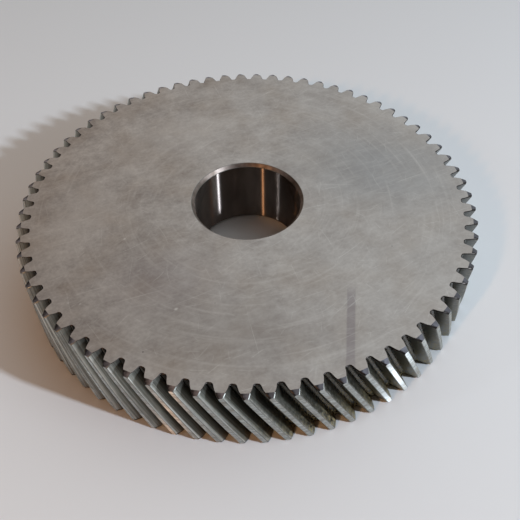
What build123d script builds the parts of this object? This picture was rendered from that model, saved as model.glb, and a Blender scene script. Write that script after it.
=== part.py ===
from build123d import *

import os
from math import acos, atan, cos, degrees, radians, sin, sqrt, tan

# A cylindrical gear: a plain disc with a through bore and one band of left-hand helical teeth.
# Lengths are in millimetres and angles in degrees. Z is the gear's axis, and z = 0 is its lower face.

# Teeth, given on the rack that would cut them
tooth_count = 71
normal_module = 3.0
normal_pressure_angle = 20.0
helix_angle = 25.5
addendum_factor = 1.0  # height of a tooth above the pitch circle, in modules
dedendum_factor = 1.25  # depth of a gap below the pitch circle, in modules
root_radius_factor = 0.38  # radius of the corner between flank and root, in modules
backlash = 0.1  # how much wider than half a pitch each gap is, along the pitch circle

# The turned blank that the teeth are cut in
face_width = 41.0
bore_diameter = 57.0
bore_chamfer_depth = 1.9
bore_chamfer_width = 1.5
rim_chamfer_depth = 0.8
rim_chamfer_width = 2.5

# How far the cutter of a gap reaches past the blank
cutter_clearance = 1.0
flank_point_count = 3

# The rack's sizes as they stand across the axis
pitch_radius = tooth_count * normal_module / cos(radians(helix_angle)) / 2
pressure_angle = atan(tan(radians(normal_pressure_angle)) / cos(radians(helix_angle)))
base_radius = pitch_radius * cos(pressure_angle)
tip_radius = pitch_radius + addendum_factor * normal_module
root_radius = pitch_radius - dedendum_factor * normal_module
corner_radius = root_radius_factor * normal_module
cutter_radius = tip_radius + cutter_clearance
cutter_length = face_width + 2 * cutter_clearance
twist_per_length = degrees(tan(radians(helix_angle)) / pitch_radius)

bore_radius = bore_diameter / 2
bore_edge_radius = bore_radius + bore_chamfer_width
face_edge_radius = tip_radius - rim_chamfer_width


def string_angle(radius):
    """Angle at the axis between an involute's point and where its string leaves the base circle."""
    return acos(base_radius / radius)


def gap_half_angle(radius):
    """Angle at the axis between the middle of a gap and its flank at this radius, in radians."""
    half_gap_at_pitch = (radians(360 / tooth_count) + backlash / pitch_radius) / 4
    involute = tan(string_angle(radius)) - string_angle(radius)
    involute_at_pitch = tan(pressure_angle) - pressure_angle
    return half_gap_at_pitch + involute - involute_at_pitch


def polar_point(radius, angle):
    return Vector(radius * cos(angle), radius * sin(angle))


# The root corner's arc touches the root circle and the flank. Its centre lies on the involute that
# runs one corner radius off the flank, because a flank's normal is its string.
corner_centre_radius = root_radius + corner_radius
flank_start_string = sqrt(corner_centre_radius**2 - base_radius**2) - corner_radius
flank_start_radius = sqrt(base_radius**2 + flank_start_string**2)
corner_centre_angle = (
    gap_half_angle(flank_start_radius)
    + string_angle(flank_start_radius)
    - string_angle(corner_centre_radius)
)


def flank_points(inner_radius, outer_radius, side):
    """Points of one flank's involute, on the left (1) or right (-1) of the gap."""
    step = (outer_radius - inner_radius) / (flank_point_count - 1)
    radii = [inner_radius + index * step for index in range(flank_point_count)]
    return [polar_point(radius, side * gap_half_angle(radius)) for radius in radii]


def draw_gap_side(side):
    """Root corner in two flats between points of its arc, then the flank below and above the pitch circle."""
    centre = polar_point(corner_centre_radius, side * corner_centre_angle)
    root_end = polar_point(root_radius, side * corner_centre_angle)
    flank_start = polar_point(flank_start_radius, side * gap_half_angle(flank_start_radius))
    arc_middle = centre + (root_end + flank_start - centre * 2).normalized() * corner_radius
    Polyline(root_end, arc_middle, flank_start)
    Spline(*flank_points(flank_start_radius, pitch_radius, side))
    Spline(*flank_points(pitch_radius, cutter_radius, side))
    return root_end, polar_point(cutter_radius, side * gap_half_angle(cutter_radius))


# The gap between two teeth, whose middle crosses the X axis at z = 0 and turns clockwise going up
cutter_start = Plane.XY.offset(-cutter_clearance).rotated((0, 0, twist_per_length * cutter_clearance))
with BuildSketch(cutter_start) as gap_profile:
    with BuildLine():
        left_root, left_outer = draw_gap_side(1)
        right_root, right_outer = draw_gap_side(-1)
        Line(left_root, right_root)
        Line(left_outer, right_outer)
    make_face()

gap_cutter = Solid.extrude_linear_with_rotation(
    gap_profile.sketch.face(),
    center=(0, 0, -cutter_clearance),
    normal=(0, 0, cutter_length),
    angle=-twist_per_length * cutter_length,
)

# The gear: its half section turned round the axis, then one gap cut for each tooth
with BuildPart() as helical_gear:
    with BuildSketch(Plane.XZ):
        with BuildLine():
            Polyline(
                (bore_edge_radius, 0),
                (face_edge_radius, 0),
                (tip_radius, rim_chamfer_depth),
                (tip_radius, face_width - rim_chamfer_depth),
                (face_edge_radius, face_width),
                (bore_edge_radius, face_width),
                (bore_radius, face_width - bore_chamfer_depth),
                (bore_radius, bore_chamfer_depth),
                close=True,
            )
        make_face()
    revolve(axis=Axis.Z)
    with PolarLocations(0, tooth_count):
        add(gap_cutter, mode=Mode.SUBTRACT)

helical_gear.part.label = "helical_gear"
os.makedirs("parts", exist_ok=True)
export_step(helical_gear.part, "parts/helical_gear.step")
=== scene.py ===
from math import acos, atan, cos, pi, radians, sqrt, tan

import bmesh
import bpy
from mathutils import Matrix, Vector


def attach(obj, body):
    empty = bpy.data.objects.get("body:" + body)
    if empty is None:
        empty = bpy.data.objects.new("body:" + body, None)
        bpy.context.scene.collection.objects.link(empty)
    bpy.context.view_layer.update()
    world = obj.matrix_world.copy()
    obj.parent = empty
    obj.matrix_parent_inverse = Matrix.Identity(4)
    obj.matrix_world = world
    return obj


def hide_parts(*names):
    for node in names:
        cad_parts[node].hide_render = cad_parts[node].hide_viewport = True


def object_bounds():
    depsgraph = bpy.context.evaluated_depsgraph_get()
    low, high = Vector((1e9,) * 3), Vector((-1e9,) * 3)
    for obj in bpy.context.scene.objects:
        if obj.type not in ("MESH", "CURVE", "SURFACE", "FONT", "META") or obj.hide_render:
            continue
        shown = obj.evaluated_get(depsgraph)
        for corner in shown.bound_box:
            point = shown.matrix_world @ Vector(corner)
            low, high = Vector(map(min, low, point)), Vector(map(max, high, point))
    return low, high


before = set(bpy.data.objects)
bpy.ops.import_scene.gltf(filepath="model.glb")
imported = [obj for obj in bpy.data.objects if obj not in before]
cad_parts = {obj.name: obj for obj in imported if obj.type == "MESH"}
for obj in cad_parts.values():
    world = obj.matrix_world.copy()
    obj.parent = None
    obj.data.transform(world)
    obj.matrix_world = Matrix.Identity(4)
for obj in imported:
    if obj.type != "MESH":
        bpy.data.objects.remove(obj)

cadLow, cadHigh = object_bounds()
print("frame loaded")


# Small helpers

def toLinear(hexColour):
    channels = [int(hexColour[i:i + 2], 16) / 255 for i in (1, 3, 5)]
    return [c / 12.92 if c <= 0.04045 else ((c + 0.055) / 1.055) ** 2.4 for c in channels] + [1.0]


def addNode(tree, kind, inputs=None, **settings):
    # Inputs are named by identifier, name or number. A node given as a value links its first live output.
    node = tree.nodes.new(kind)
    for name, value in settings.items():
        setattr(node, name, value)
    byIdentifier = {socket.identifier: socket for socket in node.inputs}
    for key, value in (inputs or {}).items():
        socket = byIdentifier[key] if key in byIdentifier else node.inputs[key]
        if isinstance(value, bpy.types.Node):
            value = next(output for output in value.outputs if output.enabled)
        if isinstance(value, bpy.types.NodeSocket):
            tree.links.new(value, socket)
        else:
            socket.default_value = value
    return node


def pointTowards(turn, rise, distance=1.0):
    # Turn is in degrees from X and rise in degrees above the floor
    return Matrix.Rotation(radians(turn), 3, "Z") @ Matrix.Rotation(radians(-rise), 3, "Y") @ Vector((distance, 0, 0))


def atAngle(radius, angle, height=0.0):
    return Matrix.Rotation(angle, 3, "Z") @ Vector((radius, 0, height))


def axisRadius(vert):
    return vert.co.xy.length


def turnOf(vert):
    return vert.co.y / vert.co.x


# The gear. Lengths are in metres and angles in degrees.

gearForm = {
    "toothCount": 71,
    "normalModule": 0.003,
    "normalPressureAngle": 20.0,
    "helixAngle": 25.5,  # left-hand
    "addendum": 1.0,  # in modules, as are the next two
    "dedendum": 1.25,
    "rootCorner": 0.38,
    "backlash": 0.0001,
    "rimChamferDepth": 0.0008,
    "rimChamferWidth": 0.0025,
    "boreRadius": 0.0285,
    "boreChamferDepth": 0.0019,
    "boreChamferWidth": 0.0015,
    "tipBreak": 0.00018,  # the two edges along the top of each tooth
    "sharpSideBreak": 0.00045,  # filed off each gap's mouth on its sharp side and at its root
    "bluntSideBreak": 0.00010,  # the other side is left nearly as cut
    "sharpCornerBreak": 0.00110,  # the file dips further where each side meets the rim chamfer
    "bluntCornerBreak": 0.00030,
    "cornerReach": 0.001,  # how far inside the rim chamfer the file starts to dip
    "wornReach": 0.0003,  # how far inside it the blunt side is worn instead of filed
    "boreBreak": 0.00015,
    "levels": 12,  # rows of faces along a tooth
    "chamferRows": 2,  # rows up the flank within the rim chamfer
    "flankRows": 4,
    "cornerRows": 4,
    "sharpFold": 50,  # a steeper fold than this is shaded as an edge
}

# The gear's material slots, in order
finishes = [
    "groundFace", "rimChamfer", "boreChamfer", "groundLand", "drivenFlank", "undersideFlankInPaintedShade", "oilAndShadeRoot",
    "honedBore", "filedEdge", "wornEdge"]

width = cadHigh.z - cadLow.z
pitchRadius = gearForm["toothCount"] * gearForm["normalModule"] / cos(radians(gearForm["helixAngle"])) / 2
pressureAngle = atan(tan(radians(gearForm["normalPressureAngle"])) / cos(radians(gearForm["helixAngle"])))
baseRadius = pitchRadius * cos(pressureAngle)
tipRadius = pitchRadius + gearForm["addendum"] * gearForm["normalModule"]
rootRadius = pitchRadius - gearForm["dedendum"] * gearForm["normalModule"]
faceEdgeRadius = tipRadius - gearForm["rimChamferWidth"]
boreEdgeRadius = gearForm["boreRadius"] + gearForm["boreChamferWidth"]
rootCorner = gearForm["rootCorner"] * gearForm["normalModule"]
halfPitch = pi / gearForm["toothCount"]
twist = -tan(radians(gearForm["helixAngle"])) / pitchRadius  # turn per metre of height
hair = 1e-5  # two radii or heights that differ by less than this are taken as one
weldReach = 2e-6  # points of neighbouring teeth that are nearer than this are joined


def stringAngle(radius):
    # Between an involute's point and where its string leaves the base circle, seen from the axis
    return acos(baseRadius / radius)


def toothHalfAngle(radius):
    involute = tan(stringAngle(radius)) - stringAngle(radius)
    involuteAtPitch = tan(pressureAngle) - pressureAngle
    halfTooth = halfPitch / 2 - gearForm["backlash"] / pitchRadius / 4
    return halfTooth - involute + involuteAtPitch


def rowsBetween(start, end, count):
    return [start + (end - start) * step / count for step in range(count)]


def toothSideProfile():
    # Points from the tooth's tip down to the middle of the gap. The arc at the root touches the root circle and the
    # flank, so its centre lies on the string of the point where the flank starts.
    centreRadius = rootRadius + rootCorner
    flankStartString = sqrt(centreRadius**2 - baseRadius**2) - rootCorner
    flankStart = sqrt(baseRadius**2 + flankStartString**2)
    radii = rowsBetween(tipRadius - gearForm["tipBreak"], faceEdgeRadius, gearForm["chamferRows"])
    radii += rowsBetween(faceEdgeRadius, flankStart, gearForm["flankRows"])
    points = [atAngle(tipRadius, toothHalfAngle(tipRadius) - gearForm["tipBreak"] / tipRadius)]
    points += [atAngle(radius, toothHalfAngle(radius)) for radius in radii]
    centreAngle = toothHalfAngle(flankStart) - stringAngle(flankStart) + stringAngle(centreRadius)
    centre = atAngle(centreRadius, centreAngle)
    fromCentre = atAngle(flankStart, toothHalfAngle(flankStart)) - centre
    rootEnd = centre.normalized() * rootRadius
    sweep = -fromCentre.angle(rootEnd - centre)
    for step in range(gearForm["cornerRows"]):
        points.append(centre + Matrix.Rotation(sweep * step / gearForm["cornerRows"], 3, "Z") @ fromCentre)
    points.append(rootEnd)
    points.append(atAngle(rootRadius, halfPitch))
    return points


def extrudeRow(bm, row):
    edges = [bm.edges.get(pair) for pair in zip(row, row[1:])]
    made = bmesh.ops.extrude_edge_only(bm, edges=edges)["geom"]
    points = sorted((g for g in made if isinstance(g, bmesh.types.BMVert)), key=turnOf)
    return points, [g for g in made if isinstance(g, bmesh.types.BMFace)]


def fileDepth(radius, onSharpSide):
    # How deep the file cuts into an end's edge at this radius, and how near that is to the root, from 0 to 1
    nearRoot = min(max((rootRadius + rootCorner - radius) / rootCorner, 0), 1)
    cornerStart = faceEdgeRadius - gearForm["cornerReach"]
    nearTip = min(max((radius - cornerStart) / (tipRadius - cornerStart), 0), 1)
    sharp, blunt = gearForm["sharpSideBreak"], gearForm["bluntSideBreak"]
    if onSharpSide:
        return sharp + (gearForm["sharpCornerBreak"] - sharp) * nearTip, nearRoot
    depth = blunt + (sharp - blunt) * nearRoot
    return depth + (gearForm["bluntCornerBreak"] - blunt) * min(nearTip * 2, 1), nearRoot


def fileEnd(bm, height, sharpSide):
    # Rounds the edge at one end of the tooth, and gives the new outline of the end
    row = sorted((v for v in bm.verts if abs(v.co.z - height) < hair), key=turnOf)
    towards = 1 if height < width / 2 else -1
    cuts = []
    for index, vert in enumerate(row):
        side = 1 if index >= len(row) / 2 else -1
        depth, nearRoot = fileDepth(axisRadius(vert), side == sharpSide)
        ahead = row[min(index + 1, len(row) - 1)].co - row[max(index - 1, 0)].co
        inward = Vector((-ahead.y, ahead.x, 0)) if nearRoot > 0 else Vector((vert.co.y, -vert.co.x, 0)) * side
        if index in (0, len(row) - 1):
            inward = -vert.co * Vector((1, 1, 0))
        cuts.append((vert.co.copy(), inward.normalized() * depth, towards * depth))
    rows, made = [row], []
    for step in range(2):
        points, faces = extrudeRow(bm, rows[-1])
        rows.append(points)
        made += faces
    quarterRound = ((0, 1), (0.293, 0.293), (1, 0))  # how far across and down each row lies
    for points, (across, down) in zip(rows, quarterRound):
        for vert, (start, inward, sink) in zip(points, cuts):
            turned = Matrix.Rotation(twist * sink * down, 3, "Z") @ (start + inward * across)
            vert.co = turned + Vector((0, 0, sink * down))
    return rows[-1], made


def pushInward(bm, edges, radius, height):
    # Extrudes a tooth's share of a ring towards the axis, with its new points evenly spread
    made = bmesh.ops.extrude_edge_only(bm, edges=edges)["geom"]
    points = sorted((g for g in made if isinstance(g, bmesh.types.BMVert)), key=turnOf)
    for index, vert in enumerate(points):
        vert.co = atAngle(radius, halfPitch * (2 * index / (len(points) - 1) - 1), height)
    return [g for g in made if isinstance(g, bmesh.types.BMEdge) and all(v in points for v in g.verts)]


def finishOf(face):
    radii = [axisRadius(v) for v in face.verts]
    levelness = abs(face.normal.z)  # 1 for a level face, 0 for an upright one
    if levelness > 0.999:
        return "groundFace"
    if max(radii) < boreEdgeRadius + hair:
        return "honedBore" if levelness < 0.1 else "boreChamfer"
    if min(radii) > faceEdgeRadius - hair and levelness > 0.7:
        return "rimChamfer"
    if min(radii) > tipRadius - hair:
        return "groundLand"
    if min(radii) > tipRadius - gearForm["tipBreak"] - hair:
        return "wornEdge"
    if max(radii) < rootRadius + rootCorner:
        return "oilAndShadeRoot"
    # down-facing flanks get a darker copy of the flank finish, painted shade
    return "drivenFlank" if face.normal.z > 0 else "undersideFlankInPaintedShade"


def filedFinishOf(face, sharpSide):
    # The finish of a face that the file or wear has made
    middle = face.calc_center_median()
    onBluntSide = (turnOf(face.verts[0]) - tan(twist * middle.z)) * sharpSide < 0
    if min(axisRadius(v) for v in face.verts) > tipRadius - hair:
        return "groundLand"
    if onBluntSide and middle.xy.length > faceEdgeRadius - gearForm["wornReach"]:
        return "wornEdge"
    return "filedEdge"


def makeToothSector():
    # One tooth with half a gap on each side, from the bore to the tip
    bm = bmesh.new()
    side = [bm.verts.new(point) for point in toothSideProfile()]
    edges = [bm.edges.new(pair) for pair in zip(side, side[1:])]
    bmesh.ops.mirror(bm, geom=side + edges, matrix=Matrix.Identity(4), merge_dist=1e-7, axis="Y")
    bm.edges.new(sorted(bm.verts, key=axisRadius)[-2:])
    bmesh.ops.spin(
        bm, geom=bm.verts[:] + bm.edges[:], cent=(0, 0, 0), axis=(0, 0, 1), angle=twist * width,
        dvec=(0, 0, width / gearForm["levels"]), steps=gearForm["levels"], use_duplicate=False)

    filed, mouths = [], []
    inset = gearForm["boreChamferDepth"]
    for height, sharpSide, mouth in ((0, 1, inset), (width, -1, width - inset)):
        outline, made = fileEnd(bm, height, sharpSide)
        filed += [(face, sharpSide) for face in made]
        half = len(outline) // 2
        sides = [bm.edges.get(outline[i:i + 2]) for i in range(1, len(outline) - 2) if i != half - 1]
        bmesh.ops.bridge_loops(bm, edges=sides)  # fills the tooth's end, from its tip down to its foot
        ring = [bm.edges.get(outline[:2]), bm.edges.get((outline[1], outline[-2])), bm.edges.get(outline[-2:])]
        ring = pushInward(bm, ring, boreEdgeRadius, height)
        mouths += pushInward(bm, ring, gearForm["boreRadius"], mouth)
    bmesh.ops.bridge_loops(bm, edges=mouths)

    for vert in bm.verts:  # the rim chamfers: what stands outside the cone slides along its tooth
        depth = gearForm["rimChamferDepth"] * (axisRadius(vert) - faceEdgeRadius) / gearForm["rimChamferWidth"]
        if depth > 0:
            slide = depth - vert.co.z * 2 * depth / width
            vert.co = Matrix.Rotation(twist * slide, 3, "Z") @ vert.co + Vector((0, 0, slide))

    bmesh.ops.recalc_face_normals(bm, faces=bm.faces)  # finishOf tells one flank from the other by them
    for face in bm.faces:
        face.material_index = finishes.index(finishOf(face))
    for face, sharpSide in filed:
        face.material_index = finishes.index(filedFinishOf(face, sharpSide))
    return bm


def breakEdges(bm, first, second, reach, size):
    # Bevels the edges between two finishes that lie no further than this from the axis
    pair = {finishes.index(first), finishes.index(second)}
    edges = [
        e for e in bm.edges
        if {f.material_index for f in e.link_faces} == pair and max(map(axisRadius, e.verts)) < reach]
    made = bmesh.ops.bevel(
        bm, geom=edges, offset=size, offset_type="OFFSET", affect="EDGES", segments=1, profile=0.5, material=-1)
    for face in made["faces"]:
        face.material_index = finishes.index("wornEdge")


def makeGear():
    bm = makeToothSector()
    others = gearForm["toothCount"] - 1
    bmesh.ops.rotate(bm, verts=bm.verts, cent=(0, 0, 0), matrix=Matrix.Rotation(halfPitch, 3, "Z"))
    bmesh.ops.spin(
        bm, geom=bm.verts[:] + bm.edges[:] + bm.faces[:], cent=(0, 0, 0), axis=(0, 0, 1),
        angle=2 * halfPitch * others, steps=others, use_duplicate=True)
    bmesh.ops.remove_doubles(bm, verts=bm.verts, dist=weldReach)
    bmesh.ops.recalc_face_normals(bm, faces=bm.faces)
    breakEdges(bm, "honedBore", "boreChamfer", boreEdgeRadius, gearForm["boreBreak"])
    breakEdges(bm, "groundFace", "boreChamfer", boreEdgeRadius + hair, gearForm["boreBreak"])
    for face in bm.faces:
        face.smooth = True
    for edge in bm.edges:
        sides = [face.material_index for face in edge.link_faces]
        if len(sides) == 2:
            edge.smooth = sides[0] == sides[1] and edge.calc_face_angle() <= radians(gearForm["sharpFold"])
    mesh = bpy.data.meshes.new("helicalGear")
    bm.to_mesh(mesh)
    bm.free()
    return mesh


gearMesh = makeGear()
gear = bpy.data.objects.new("helicalGear", gearMesh)
bpy.context.scene.collection.objects.link(gear)
print("gear modelled")
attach(gear, "root")
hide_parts("helical_gear")


# Finishes. Most are named for how their surface was made and some for the painted shade on them, and lengths in them
# are millimetres.

def startFinish(name):
    material = bpy.data.materials.new(name)
    material.use_nodes = True
    tree = material.node_tree
    tree.nodes.clear()
    gearMesh.materials.append(material)
    place = addNode(tree, "ShaderNodeTexCoord").outputs["Object"]
    return tree, addNode(tree, "ShaderNodeVectorMath", {0: place, "Scale": 1000.0}, operation="SCALE")


def endFinish(tree, colour, roughness, **sockets):
    shader = addNode(
        tree, "ShaderNodeBsdfPrincipled", {"Base Color": colour, "Roughness": roughness, "Metallic": 1.0, **sockets})
    addNode(tree, "ShaderNodeOutputMaterial", {"Surface": shader})


def endRingedFinish(tree, colour, roughness, anisotropy):
    # Bare metal with very fine rings round the axis, which draw each light out along it
    tangent = addNode(tree, "ShaderNodeTangent", direction_type="RADIAL", axis="Z")
    shader = addNode(
        tree, "ShaderNodeBsdfAnisotropic",
        {"Color": colour, "Roughness": roughness, "Anisotropy": anisotropy, "Tangent": tangent})
    addNode(tree, "ShaderNodeOutputMaterial", {"Surface": shader})


def addPatches(tree, place, size, low, high, share=1.0, stretch=(1, 1, 1), turn=0.0, detail=3.0, fineness=0.5):
    # Random patches of about this size: 0 where the noise is below the low mark, the full share above the high one
    spot = addNode(tree, "ShaderNodeMapping", {"Vector": place, "Rotation": (0, 0, radians(turn))})
    ownPart = (size * 7.3, low * 31, high * 17)  # each kind of patch lies in a part of the noise of its own
    spot = addNode(
        tree, "ShaderNodeMapping", {"Vector": spot, "Scale": [s / size for s in stretch], "Location": ownPart})
    noise = addNode(tree, "ShaderNodeTexNoise", {"Vector": spot, "Scale": 1.0, "Detail": detail, "Roughness": fineness})
    return addNode(tree, "ShaderNodeMapRange", {"Value": noise, "From Min": low, "From Max": high, "To Max": share})


def addMark(tree, place, centre, size, turn, share, edge=0.5, square=False):
    # One soft-edged mark, oval or square-ended, longest along the angle it is turned to
    spot = addNode(tree, "ShaderNodeVectorMath", {0: place, 1: (*centre, 0)}, operation="SUBTRACT")
    spot = addNode(
        tree, "ShaderNodeMapping", {"Vector": spot, "Rotation": (0, 0, radians(-turn)), "Scale": (1, 1, 0)})
    spot = addNode(tree, "ShaderNodeVectorMath", {0: spot, 1: (2 / size[0], 2 / size[1], 0)}, operation="MULTIPLY")
    if square:
        spot = addNode(tree, "ShaderNodeVectorMath", {0: spot}, operation="ABSOLUTE")
        spot = addNode(tree, "ShaderNodeSeparateXYZ", {0: spot})
        spot = addNode(tree, "ShaderNodeMath", {0: spot.outputs["X"], 1: spot.outputs["Y"]}, operation="MAXIMUM")
    else:
        spot = addNode(tree, "ShaderNodeVectorMath", {0: spot}, operation="LENGTH").outputs["Value"]
    return addNode(
        tree, "ShaderNodeMapRange", {"Value": spot, "From Min": 1.0, "From Max": edge, "To Max": share},
        interpolation_type="SMOOTHSTEP")


def addScratches(tree, place, spacing, length, thickness, lean, spread, share):
    # One slightly bent scratch in each cell of a random net. Lean is its angle from X, and spread how far that varies.
    bend = addNode(tree, "ShaderNodeTexNoise", {"Vector": place, "Scale": 0.6 / spacing, "Detail": 0.0})
    bend = addNode(tree, "ShaderNodeVectorMath", {0: bend.outputs["Color"], "Scale": spacing * 0.5}, operation="SCALE")
    place = addNode(tree, "ShaderNodeVectorMath", {0: place, 1: bend}, operation="ADD")
    place = addNode(tree, "ShaderNodeVectorMath", {0: place, "Scale": 1 / spacing}, operation="SCALE")
    cell = addNode(tree, "ShaderNodeTexVoronoi", {"Vector": place, "Scale": 1.0}, voronoi_dimensions="2D")
    local = addNode(tree, "ShaderNodeVectorMath", {0: place, 1: cell.outputs["Position"]}, operation="SUBTRACT")
    chance = addNode(tree, "ShaderNodeSeparateXYZ", {0: cell.outputs["Color"]})
    angle = addNode(
        tree, "ShaderNodeMapRange",
        {"Value": chance.outputs["X"], "To Min": radians(-lean - spread), "To Max": radians(-lean + spread)})
    local = addNode(tree, "ShaderNodeVectorRotate", {"Vector": local, "Angle": angle}, rotation_type="Z_AXIS")
    local = addNode(tree, "ShaderNodeVectorMath", {0: local}, operation="ABSOLUTE")
    local = addNode(tree, "ShaderNodeSeparateXYZ", {0: local})
    along = addNode(
        tree, "ShaderNodeMapRange",
        {"Value": local.outputs["X"], "From Min": length / spacing / 2, "From Max": length / spacing / 5})
    across = addNode(
        tree, "ShaderNodeMapRange",
        {"Value": local.outputs["Y"], "From Min": thickness / spacing, "From Max": thickness / spacing / 4})
    depth = addNode(tree, "ShaderNodeMapRange", {"Value": chance.outputs["Y"], "From Min": 0.3, "To Max": share})
    mark = addNode(tree, "ShaderNodeMath", {0: along, 1: across}, operation="MULTIPLY")
    return addNode(tree, "ShaderNodeMath", {0: mark, 1: depth}, operation="MULTIPLY")


def addToothPlace(tree, place):
    # Distance from the axis, height, and turn counted in teeth with the helix undone: whole numbers are gaps' middles
    flat = addNode(tree, "ShaderNodeVectorMath", {0: place, 1: (1, 1, 0)}, operation="MULTIPLY")
    radius = addNode(tree, "ShaderNodeVectorMath", {0: flat}, operation="LENGTH").outputs["Value"]
    split = addNode(tree, "ShaderNodeSeparateXYZ", {0: place})
    height = split.outputs["Z"]
    turn = addNode(tree, "ShaderNodeMath", {0: split.outputs["Y"], 1: split.outputs["X"]}, operation="ARCTAN2")
    turn = addNode(tree, "ShaderNodeMath", {0: height, 1: -twist / 1000, 2: turn}, operation="MULTIPLY_ADD")
    return radius, height, addNode(tree, "ShaderNodeMath", {0: turn, 1: 2 * halfPitch}, operation="DIVIDE")


dirtAndShadeSide = -22  # the side of the gear given dirt and painted shade, in degrees from X


def addSideShare(tree, place, start, full, share=1.0):
    # Nothing at the start and the full share at the other mark, both counted from the axis towards the side given dirt
    # and painted shade
    side = addNode(
        tree, "ShaderNodeVectorMath", {0: place, 1: atAngle(1.0, radians(dirtAndShadeSide))}, operation="DOT_PRODUCT")
    return addNode(
        tree, "ShaderNodeMapRange",
        {"Value": side.outputs["Value"], "From Min": start, "From Max": full, "To Max": share})


faceFinish = {
    "dark": "#958f8b",
    "light": "#cfccc8",
    "brown": "#a0907f",
    "blue": "#92969a",
    "violet": "#918a8c",
    "scratch": "#e6e6e2",
    "pit": "#1d1b1a",
    # the largest clouds; the finest grain is a thirtieth of them, coarser than real grinding so that it shows
    "grain": dict(size=26.0, low=0.20, high=0.80, stretch=(0.9, 1, 1), turn=-18, detail=5.0, fineness=0.9),
    "grainReach": (-90.0, 70.0),  # along X, from where the clouds are strongest to where they are weakest
    "grainStrength": (1.5, 0.75),
    "grainRoughness": (0.46, 0.38),  # in dark grain and in light
    "grainDepth": 0.00002,
    "brownStains": dict(size=22.0, low=0.42, high=0.78, share=0.34, detail=4.0),
    "wipes": dict(size=2.0, low=0.5, high=0.8, share=0.22, stretch=(0.10, 1, 1), turn=-27),
    "rings": dict(size=1.6, low=0.55, high=0.85, share=0.45, stretch=(1, 0.2, 1)),
    "ringTurn": 15.0,  # a turn of one radian counts as this many millimetres along a ring
    "scratchThickness": 0.24,  # wider than real ones, so that they show
    # spacing, length, lean, spread and share of each kind of scratch
    "scratches": (
        (13, 12, 33, 30, 0.30),
        (27, 25, 30, 22, 0.34),
        (8, 7, 0, 90, 0.22),
        (21, 18, -72, 16, 0.26),
        (5, 4.5, 20, 60, 0.2)),
    # colour, centre, size, turn and share of each larger mark; the blue one is painted shade on the right and the last
    # light one painted light along the left edge
    "clouds": (
        # painted shade: darkens the right of the face
        ("blue", (70.0, 28.0), (138.0, 96.0), -12, 0.48),
        ("violet", (-38.0, -58.0), (92.0, 66.0), 10, 0.36),
        ("dark", (-4.0, -86.0), (136.0, 62.0), 2, 0.42),
        ("light", (-42.0, 52.0), (100.0, 60.0), 20, 0.34),
        # painted light: lightens the left edge of the face
        ("light", (-86.0, -14.0), (56.0, 120.0), -8, 0.34)),
    "smear": dict(centre=(50.3, -82.5), size=(52.0, 4.8), turn=86, share=0.68, edge=0.6),
    # centre and size
    "knocks": (((-29.7, -74.9), 3.0), ((-80.5, -72.7), 1.2), ((-74.7, -73.1), 1.4), ((-61.0, -31.0), 2.2)),
    "pits": (((-41.5, -98.9), 0.9), ((73.8, -32.7), 0.8), ((61.0, 51.0), 0.6), ((-12.0, -71.0), 0.6)),
}


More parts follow.
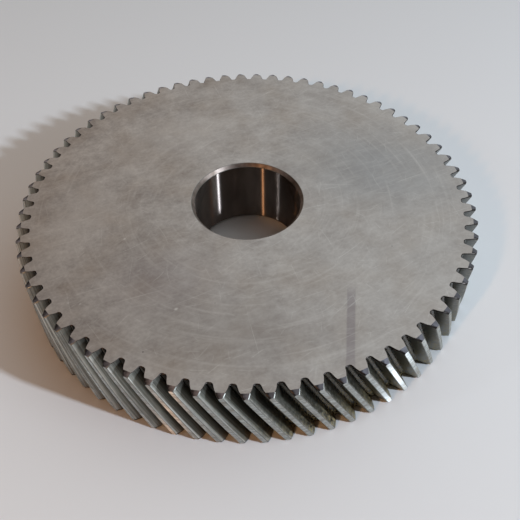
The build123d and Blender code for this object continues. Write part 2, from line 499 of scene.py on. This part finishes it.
def makeGroundFace():
    # Ground carbon steel, handled and stacked: matt satin grey with cloudy stains, a cloud of painted shade and one of
    # painted light, wipe marks and fine bright scratches
    tree, place = startFinish("groundCarbonSteel")
    flat = addNode(tree, "ShaderNodeVectorMath", {0: place, 1: (1, 1, 0)}, operation="MULTIPLY")
    radius = addNode(tree, "ShaderNodeVectorMath", {0: flat}, operation="LENGTH").outputs["Value"]
    split = addNode(tree, "ShaderNodeSeparateXYZ", {0: place})
    around = addNode(tree, "ShaderNodeMath", {0: split.outputs["Y"], 1: split.outputs["X"]}, operation="ARCTAN2")
    around = addNode(tree, "ShaderNodeMath", {0: around, 1: faceFinish["ringTurn"]}, operation="MULTIPLY")
    ringPlace = addNode(tree, "ShaderNodeCombineXYZ", {"X": radius, "Y": around})

    start, end = faceFinish["grainReach"]
    strongest, weakest = faceFinish["grainStrength"]
    strength = addNode(
        tree, "ShaderNodeMapRange",
        {"Value": split.outputs["X"], "From Min": start, "From Max": end, "To Min": strongest, "To Max": weakest})
    grain = addPatches(tree, place, **faceFinish["grain"])
    grain = addNode(tree, "ShaderNodeMath", {0: grain, 1: 0.5}, operation="SUBTRACT")
    grain = addNode(tree, "ShaderNodeMath", {0: grain, 1: strength, 2: 0.5}, operation="MULTIPLY_ADD")
    colour = addNode(
        tree, "ShaderNodeMix",
        {"Factor_Float": grain, "A_Color": toLinear(faceFinish["dark"]), "B_Color": toLinear(faceFinish["light"])},
        data_type="RGBA")

    brown = addPatches(tree, place, **faceFinish["brownStains"])
    brown = addNode(tree, "ShaderNodeMath", {0: brown, 1: strength}, operation="MULTIPLY")
    layers = [(brown, "brown")]
    # the clouds, among them one of painted shade and one of painted light
    for tint, centre, size, turn, share in faceFinish["clouds"]:
        layers.append((addMark(tree, place, centre, size, turn, share, edge=0.1), tint))
    layers.append((addMark(tree, place, **faceFinish["smear"], square=True), "violet"))
    layers.append((addPatches(tree, place, **faceFinish["wipes"]), "light"))
    layers.append((addPatches(tree, ringPlace, **faceFinish["rings"]), "light"))
    for spacing, length, lean, spread, share in faceFinish["scratches"]:
        scratches = addScratches(tree, place, spacing, length, faceFinish["scratchThickness"], lean, spread, share)
        layers.append((scratches, "scratch"))
    for centre, size in faceFinish["knocks"]:
        knock = addMark(tree, place, centre, size=(size, size * 0.7), turn=30, share=0.7, edge=0.0)
        layers.append((knock, "scratch"))
    for centre, size in faceFinish["pits"]:
        layers.append((addMark(tree, place, centre, size=(size, size), turn=0, share=0.85, edge=0.2), "pit"))
    for share, tint in layers:
        colour = addNode(
            tree, "ShaderNodeMix", {"Factor_Float": share, "A_Color": colour, "B_Color": toLinear(faceFinish[tint])},
            data_type="RGBA")

    inDark, inLight = faceFinish["grainRoughness"]
    roughness = addNode(tree, "ShaderNodeMapRange", {"Value": grain, "To Min": inDark, "To Max": inLight})
    bump = addNode(tree, "ShaderNodeBump", {"Height": grain, "Strength": 1.0, "Distance": faceFinish["grainDepth"]})
    endFinish(tree, colour, roughness, Normal=bump)


chamferFinish = {
    "rim": dict(light="#a9abb6", dark="#85858c", roughness=0.40, dirtAndShadeShare=0.92),
    "bore": dict(light="#968c85", dark="#6d635b", roughness=0.52, dirtAndShadeShare=0.0),
    "clouds": dict(size=5.0, low=0.35, high=0.65, detail=4.0),
    "grain": dict(size=0.9, low=0.3, high=0.7),
    "grainDepth": 0.00001,
    "dirt": "#2a2726",  # dirt and painted shade, along each tooth's sharp side where it meets the rim chamfer
    "dirtAndShadeReach": (0.16, -0.05),  # where it starts and is full, in pitches from the middle of a tooth
    "bandWaver": dict(size=1.2, low=0.3, high=0.7, share=0.1),
    "dirtAndShadeSideReach": (35.0, 95.0),  # on the side given dirt and painted shade the whole chamfer gets this share of it
    "dirtAndShadeSideShare": 0.7,
}


def makeTurnedChamfer(name, light, dark, roughness, dirtAndShadeShare):
    # Turned steel: narrow cones with fine rings left by the tool and a dull grey-brown bloom
    tree, place = startFinish(name)
    clouds = addPatches(tree, place, **chamferFinish["clouds"])
    colour = addNode(
        tree, "ShaderNodeMix", {"Factor_Float": clouds, "A_Color": toLinear(light), "B_Color": toLinear(dark)},
        data_type="RGBA")

    # a dark band along each tooth's sharp side: dirt, and painted shade of the hollow filed facet
    height, turn = addToothPlace(tree, place)[1:]
    across = addNode(tree, "ShaderNodeMath", {0: turn}, operation="FRACT")
    across = addNode(tree, "ShaderNodeMath", {0: across, 1: 0.5}, operation="SUBTRACT")
    whichEnd = addNode(  # -1 at the lower face and 1 at the upper, because the sharp sides there are opposite ones
        tree, "ShaderNodeMapRange", {"Value": height, "To Min": -1.0, "From Max": width * 1000})
    across = addNode(tree, "ShaderNodeMath", {0: across, 1: whichEnd}, operation="MULTIPLY")
    waver = addPatches(tree, place, **chamferFinish["bandWaver"])
    across = addNode(tree, "ShaderNodeMath", {0: waver, 1: across}, operation="ADD")
    start, full = chamferFinish["dirtAndShadeReach"]
    dirt = addNode(
        tree, "ShaderNodeMapRange", {"Value": across, "From Min": start, "From Max": full, "To Max": dirtAndShadeShare})
    # the whole chamfer darker on one side of the gear: dirt and painted shade
    onDirtAndShadeSide = addSideShare(
        tree, place, *chamferFinish["dirtAndShadeSideReach"], share=dirtAndShadeShare * chamferFinish["dirtAndShadeSideShare"])
    dirt = addNode(tree, "ShaderNodeMath", {0: dirt, 1: onDirtAndShadeSide}, operation="MAXIMUM")
    colour = addNode(
        tree, "ShaderNodeMix",
        {"Factor_Float": dirt, "A_Color": colour, "B_Color": toLinear(chamferFinish["dirt"])}, data_type="RGBA")

    tangent = addNode(tree, "ShaderNodeTangent", direction_type="RADIAL", axis="Z")
    grain = addPatches(tree, place, **chamferFinish["grain"])
    bump = addNode(tree, "ShaderNodeBump", {"Height": grain, "Strength": 1.0, "Distance": chamferFinish["grainDepth"]})
    endFinish(tree, colour, roughness, Anisotropic=0.5, Tangent=tangent, Normal=bump, **{"Anisotropic Rotation": 0.25})


landFinish = {
    "light": "#dde2e0",
    "dark": "#8f9390",
    "brown": "#9c9488",
    # grinding marks, spaced wider than real ones, which would not show
    "rings": dict(size=0.7, low=0.38, high=0.66, share=0.85, stretch=(0.12, 0.12, 1), fineness=0.7),
    "clouds": dict(size=4.0, low=0.45, high=0.75, share=0.7),
    "roughness": 0.28,
    "anisotropy": 0.75,
}


def makeGroundLand():
    # Cylindrically ground steel: tooth tops with fine marks across them, which smear each light down the tooth
    tree, place = startFinish("cylindricallyGroundSteel")
    rings = addPatches(tree, place, **landFinish["rings"])
    clouds = addPatches(tree, place, **landFinish["clouds"])
    colour = toLinear(landFinish["light"])
    for share, tint in ((rings, "dark"), (clouds, "brown")):
        colour = addNode(
            tree, "ShaderNodeMix", {"Factor_Float": share, "A_Color": colour, "B_Color": toLinear(landFinish[tint])},
            data_type="RGBA")
    endRingedFinish(tree, colour, landFinish["roughness"], landFinish["anisotropy"])


flankFinish = {
    # colours at the tip, near it, half way down and at the root: the bright tip is wear and a painted highlight, the
    # black root old oil and painted shade
    "driven": dict(colours=("#e9ebe4", "#b0b3ab", "#83867f", "#1b1a18"), roughness=0.42),
    # the down-facing flank: a darker copy of the same steel, painted shade
    "shadedUnderside": dict(colours=("#8b887b", "#67645a", "#4a483f", "#131210"), roughness=0.30),
    "stops": (0.86, 0.48),  # where the two between lie
    "root": dict(colours=("#5b5953", "#161512"), roughness=0.26),  # in the middle of the gap and beside it; the black beside the middle is old oil and painted shade
    "rootReach": (0.07, 0.0),  # how far from that middle, in pitches, the second is full and is gone
    "rootBlackHeight": 0.2,  # the black at the root, old oil and painted shade, climbs this far
    "waver": dict(size=4.0, low=0.2, high=0.8),
    "waverShare": 0.10,
    # fine lines that run along a tooth, spaced wider than real ones
    "line": "#55524c",
    "lines": dict(size=0.6, low=0.42, high=0.66, share=0.7, stretch=(1, 0.012, 3.1), detail=2.0, fineness=0.6),
    # painted warm shade low down on the side away from the dirt, and oil, grime and painted shade on the dirty one
    "paintedWarmShade": "#8a7f74",
    "warmShadeReach": (60.0, -20.0),
    "warmShadeShare": 0.55,
    "oil": "#2a2822",
    "oilAndShadePatches": dict(size=1.8, low=0.34, high=0.56, share=0.85, fineness=0.7),
    "grime": "#a0946c",
    "grimeSpots": dict(size=1.3, low=0.49, high=0.58, detail=4.0, fineness=0.75),
    "grimeRoughness": 0.7,
    "grimeMetallic": 0.4,
    "dirtAndShadeReach": (36.0, 80.0),
    "lowReach": (30.0, 5.0),  # the painted warm shade and the grime are least above the first height and full below the second
    "lowLeast": 0.15,
}


def makeHobbedFlank(name, colours, roughness):
    # Hobbed steel with fine lines along the tooth, bright towards the tip and black at the root: wear and old oil, with
    # a painted highlight near the tip and painted shade down in the gap
    tree, place = startFinish(name)
    radius, height, turn = addToothPlace(tree, place)
    tooth = addNode(tree, "ShaderNodeMath", {0: turn}, operation="ROUND")
    lines = addNode(tree, "ShaderNodeCombineXYZ", {"X": radius, "Y": height, "Z": tooth})
    lines = addPatches(tree, lines, **flankFinish["lines"])

    if len(colours) == 4:  # a flank, whose colours go up it, and otherwise a root, whose colours go out from its middle
        waver = addPatches(tree, place, **flankFinish["waver"])
        lowest = rootRadius * 1000 + flankFinish["rootBlackHeight"]
        level = addNode(
            tree, "ShaderNodeMapRange", {"Value": radius, "From Min": lowest, "From Max": tipRadius * 1000})
        level = addNode(
            tree, "ShaderNodeMath", {0: waver, 1: flankFinish["waverShare"], 2: level}, operation="MULTIPLY_ADD")
    else:
        level = addNode(tree, "ShaderNodeMath", {0: turn, 1: tooth}, operation="SUBTRACT")
        level = addNode(tree, "ShaderNodeMath", {0: level}, operation="ABSOLUTE")
        edge, middle = flankFinish["rootReach"]
        level = addNode(tree, "ShaderNodeMapRange", {"Value": level, "From Min": edge, "From Max": middle})
    colour = addNode(tree, "ShaderNodeValToRGB", {0: level})
    colour.color_ramp.elements[0].color = toLinear(colours[-1])
    colour.color_ramp.elements[1].color = toLinear(colours[0])
    for spot, tint in zip(flankFinish["stops"], colours[1:-1]):
        colour.color_ramp.elements.new(spot).color = toLinear(tint)

    lowStart, lowFull = flankFinish["lowReach"]
    low = addNode(
        tree, "ShaderNodeMapRange",
        {"Value": height, "From Min": lowStart, "From Max": lowFull, "To Min": flankFinish["lowLeast"]})
    # painted warm shade, low down on the flanks away from the dirty side
    paintedWarmShade = addSideShare(tree, place, *flankFinish["warmShadeReach"], share=flankFinish["warmShadeShare"])
    paintedWarmShade = addNode(tree, "ShaderNodeMath", {0: paintedWarmShade, 1: low}, operation="MULTIPLY")
    dirty = addSideShare(tree, place, *flankFinish["dirtAndShadeReach"])
    # oil patches on the dirty side, which also paint the shade of its flanks
    oil = addPatches(tree, place, **flankFinish["oilAndShadePatches"])
    oil = addNode(tree, "ShaderNodeMath", {0: oil, 1: dirty}, operation="MULTIPLY")
    dirty = addNode(tree, "ShaderNodeMath", {0: dirty, 1: low}, operation="MULTIPLY")
    grime = addPatches(tree, place, **flankFinish["grimeSpots"])
    grime = addNode(tree, "ShaderNodeMath", {0: grime, 1: dirty}, operation="MULTIPLY")
    for share, tint in ((paintedWarmShade, "paintedWarmShade"), (lines, "line"), (oil, "oil"), (grime, "grime")):
        colour = addNode(
            tree, "ShaderNodeMix", {"Factor_Float": share, "A_Color": colour, "B_Color": toLinear(flankFinish[tint])},
            data_type="RGBA")
    rough = addNode(
        tree, "ShaderNodeMapRange", {"Value": grime, "To Min": roughness, "To Max": flankFinish["grimeRoughness"]})
    metal = addNode(
        tree, "ShaderNodeMapRange", {"Value": grime, "To Min": 1.0, "To Max": flankFinish["grimeMetallic"]})
    endFinish(tree, colour, rough, Metallic=metal)


boreFinish = {
    "light": "#928983",
    "dark": "#736b66",
    "clouds": dict(size=9.0, low=0.35, high=0.7, stretch=(1, 1, 0.3)),
    "roughness": 0.24,
    "anisotropy": 0.85,
}


def makeHonedBore():
    # Honed steel under oil: a dark mirror whose very fine rings draw each light out into an upright line
    tree, place = startFinish("honedSteel")
    clouds = addPatches(tree, place, **boreFinish["clouds"])
    colour = addNode(
        tree, "ShaderNodeMix",
        {"Factor_Float": clouds, "A_Color": toLinear(boreFinish["light"]), "B_Color": toLinear(boreFinish["dark"])},
        data_type="RGBA")
    endRingedFinish(tree, colour, boreFinish["roughness"], boreFinish["anisotropy"])


edgeFinish = {
    # the filed edges are nearly black: dirt, and painted shade of the gap mouths they line
    "filed": dict(steel="#3b3836", dirt="#232120", roughness=0.42),
    "worn": dict(steel="#8b8e89", dirt="#6c6c67", roughness=0.46),
    "patches": dict(size=1.5, low=0.35, high=0.65, share=0.6),
}


def makeEdge(name, steel, dirt, roughness):
    # Filed or worn steel: coarse marks on narrow edges, with dirt caught in them; the filed edges' dark steel is also
    # painted shade
    tree, place = startFinish(name)
    patches = addPatches(tree, place, **edgeFinish["patches"])
    colour = addNode(
        tree, "ShaderNodeMix", {"Factor_Float": patches, "A_Color": toLinear(steel), "B_Color": toLinear(dirt)},
        data_type="RGBA")
    endFinish(tree, colour, roughness)


# In the order of the list of finishes
makeGroundFace()
makeTurnedChamfer("turnedSteel", **chamferFinish["rim"])
makeTurnedChamfer("oiledTurnedSteel", **chamferFinish["bore"])
makeGroundLand()
makeHobbedFlank("hobbedSteel", **flankFinish["driven"])
makeHobbedFlank("hobbedSteelInPaintedShade", **flankFinish["shadedUnderside"])
makeHobbedFlank("oilAndShadeBlackenedSteel", **flankFinish["root"])
makeHonedBore()
makeEdge("filedSteel", **edgeFinish["filed"])
makeEdge("wornSteel", **edgeFinish["worn"])
print("finishes made")


# Floor, lights and camera

stageForm = {
    "floorSize": 6.0,
    "floorColour": "#d9dedf",
    "floorRoughness": 0.9,
    "roomLeft": (0.44, 0.35, 0.29),
    "roomRight": (0.45, 0.455, 0.455),
    "leftToRight": (-0.45, 0.45),  # along X, as a share of a direction's length
    "darkCorner": (0.06, 0.032, 0.020),
    "darkTurn": -122,  # where the room's unlit corner lies
    "darkReach": (-0.38, 0.42),  # full dark to none, by the cosine of the angle from the opposite side
    "roomHeights": ((0.45, 1.02), (0.86, 0.78), (1.0, 1.7)),  # sine of a height, and how bright the room is there
    "wallColour": (0.78, 0.82, 0.84),
    "wallTurn": 58,  # where the pale wall stands, and how high its middle is
    "wallHeight": 44,
    "wallReach": (0.70, 1.0),  # none to full, by the cosine of the angle from its middle
}

# Each lamp's turn from X, rise above the floor, distance, width, height, power and colour. All face the gear.
lamps = {
    "keyLamp": (-24, 31, 1.6, 0.06, 0.12, 21.0, "#e8f1ff"),
    "warmLamp": (-121, 36, 1.3, 0.03, 0.12, 3.6, "#ffbd87"),
    "backLamp": (-157, 33, 1.5, 0.03, 0.12, 1.1, "#e8eef4"),
    "sideWindow": (-17, 30, 1.6, 0.40, 0.30, 2.0, "#f0f4f6"),
}

floorMesh = bpy.data.meshes.new("studioFloor")
bm = bmesh.new()
bmesh.ops.create_grid(bm, x_segments=1, y_segments=1, size=stageForm["floorSize"] / 2)
bm.to_mesh(floorMesh)
bm.free()
floor = bpy.data.objects.new("studioFloor", floorMesh)
bpy.context.scene.collection.objects.link(floor)
paper = bpy.data.materials.new("palePaper")
paper.use_nodes = True
paperShader = paper.node_tree.nodes["Principled BSDF"]
paperShader.inputs["Base Color"].default_value = toLinear(stageForm["floorColour"])
paperShader.inputs["Roughness"].default_value = stageForm["floorRoughness"]
floorMesh.materials.append(paper)

for name, (turn, rise, distance, across, up, power, colour) in lamps.items():
    lamp = bpy.data.lights.new(name, "AREA")
    lamp.shape = "RECTANGLE"
    lamp.size, lamp.size_y = across, up
    lamp.energy = power
    lamp.color = toLinear(colour)[:3]
    softbox = bpy.data.objects.new(name, lamp)
    softbox.location = pointTowards(turn, rise, distance)
    softbox.rotation_euler = (-pointTowards(turn, rise, distance)).to_track_quat("-Z", "Y").to_euler()
    bpy.context.scene.collection.objects.link(softbox)

world = bpy.data.worlds.new("studioRoom")
bpy.context.scene.world = world
world.use_nodes = True
tree = world.node_tree
tree.nodes.clear()
direction = addNode(tree, "ShaderNodeTexCoord").outputs["Generated"]
split = addNode(tree, "ShaderNodeSeparateXYZ", {0: direction})
left, right = stageForm["leftToRight"]
fromLeft = addNode(
    tree, "ShaderNodeMapRange", {"Value": split.outputs["X"], "From Min": left, "From Max": right},
    interpolation_type="SMOOTHSTEP")
room = addNode(
    tree, "ShaderNodeMix",
    {"Factor_Float": fromLeft, "A_Color": (*stageForm["roomLeft"], 1), "B_Color": (*stageForm["roomRight"], 1)},
    data_type="RGBA")
awayFromCorner = pointTowards(stageForm["darkTurn"], 0, -1.0)
outOfCorner = addNode(tree, "ShaderNodeVectorMath", {0: direction, 1: awayFromCorner}, operation="DOT_PRODUCT")
darkest, lit = stageForm["darkReach"]
outOfCorner = addNode(
    tree, "ShaderNodeMapRange", {"Value": outOfCorner.outputs["Value"], "From Min": darkest, "From Max": lit},
    interpolation_type="SMOOTHSTEP")
room = addNode(
    tree, "ShaderNodeMix", {"Factor_Float": outOfCorner, "A_Color": (*stageForm["darkCorner"], 1), "B_Color": room},
    data_type="RGBA")
overhead = addNode(tree, "ShaderNodeValToRGB", {0: split.outputs["Z"]})
ramp = overhead.color_ramp.elements
ramp.new(0.8)
for stop, (height, share) in zip(ramp, stageForm["roomHeights"]):
    stop.position, stop.color = height, (share, share, share, 1)
room = addNode(
    tree, "ShaderNodeMix", {"Factor_Float": 1.0, "A_Color": room, "B_Color": overhead},
    data_type="RGBA", blend_type="MULTIPLY")
wallMiddle = pointTowards(stageForm["wallTurn"], stageForm["wallHeight"])
nearWall = addNode(tree, "ShaderNodeVectorMath", {0: direction, 1: wallMiddle}, operation="DOT_PRODUCT")
wallEdge, wallFull = stageForm["wallReach"]
nearWall = addNode(
    tree, "ShaderNodeMapRange", {"Value": nearWall.outputs["Value"], "From Min": wallEdge, "From Max": wallFull},
    interpolation_type="SMOOTHSTEP")
room = addNode(
    tree, "ShaderNodeMix", {"Factor_Float": nearWall, "A_Color": room, "B_Color": (*stageForm["wallColour"], 1)},
    data_type="RGBA")
background = addNode(tree, "ShaderNodeBackground", {"Color": room, "Strength": 1.0})
addNode(tree, "ShaderNodeOutputWorld", {"Surface": background})

cameraForm = {
    "lens": 45.9,
    "elevation": 48.2,
    "turn": 2.167,
    "roll": -0.575,
    "distance": 2.6929,  # in tip radii, as is aim, which lies on the upper face
    "aim": (0.0532, -0.3632),
    "nearest": 0.01,
}

turned = Matrix.Rotation(radians(cameraForm["turn"]), 4, "Z")
aim = turned @ Vector((*(Vector(cameraForm["aim"]) * tipRadius), width))
pose = turned @ Matrix.Rotation(radians(90 - cameraForm["elevation"]), 4, "X")
back = pose.to_3x3() @ Vector((0, 0, 1))
camera = bpy.data.objects.new("camera", bpy.data.cameras.new("camera"))
camera.data.lens = cameraForm["lens"]
camera.data.clip_start = cameraForm["nearest"]
camera.matrix_world = (
    Matrix.Translation(aim + back * cameraForm["distance"] * tipRadius)
    @ pose @ Matrix.Rotation(radians(cameraForm["roll"]), 4, "Z"))
bpy.context.scene.collection.objects.link(camera)
bpy.context.scene.camera = camera
bpy.context.scene.view_settings.view_transform = "Standard"
print("stage, lights and camera set")
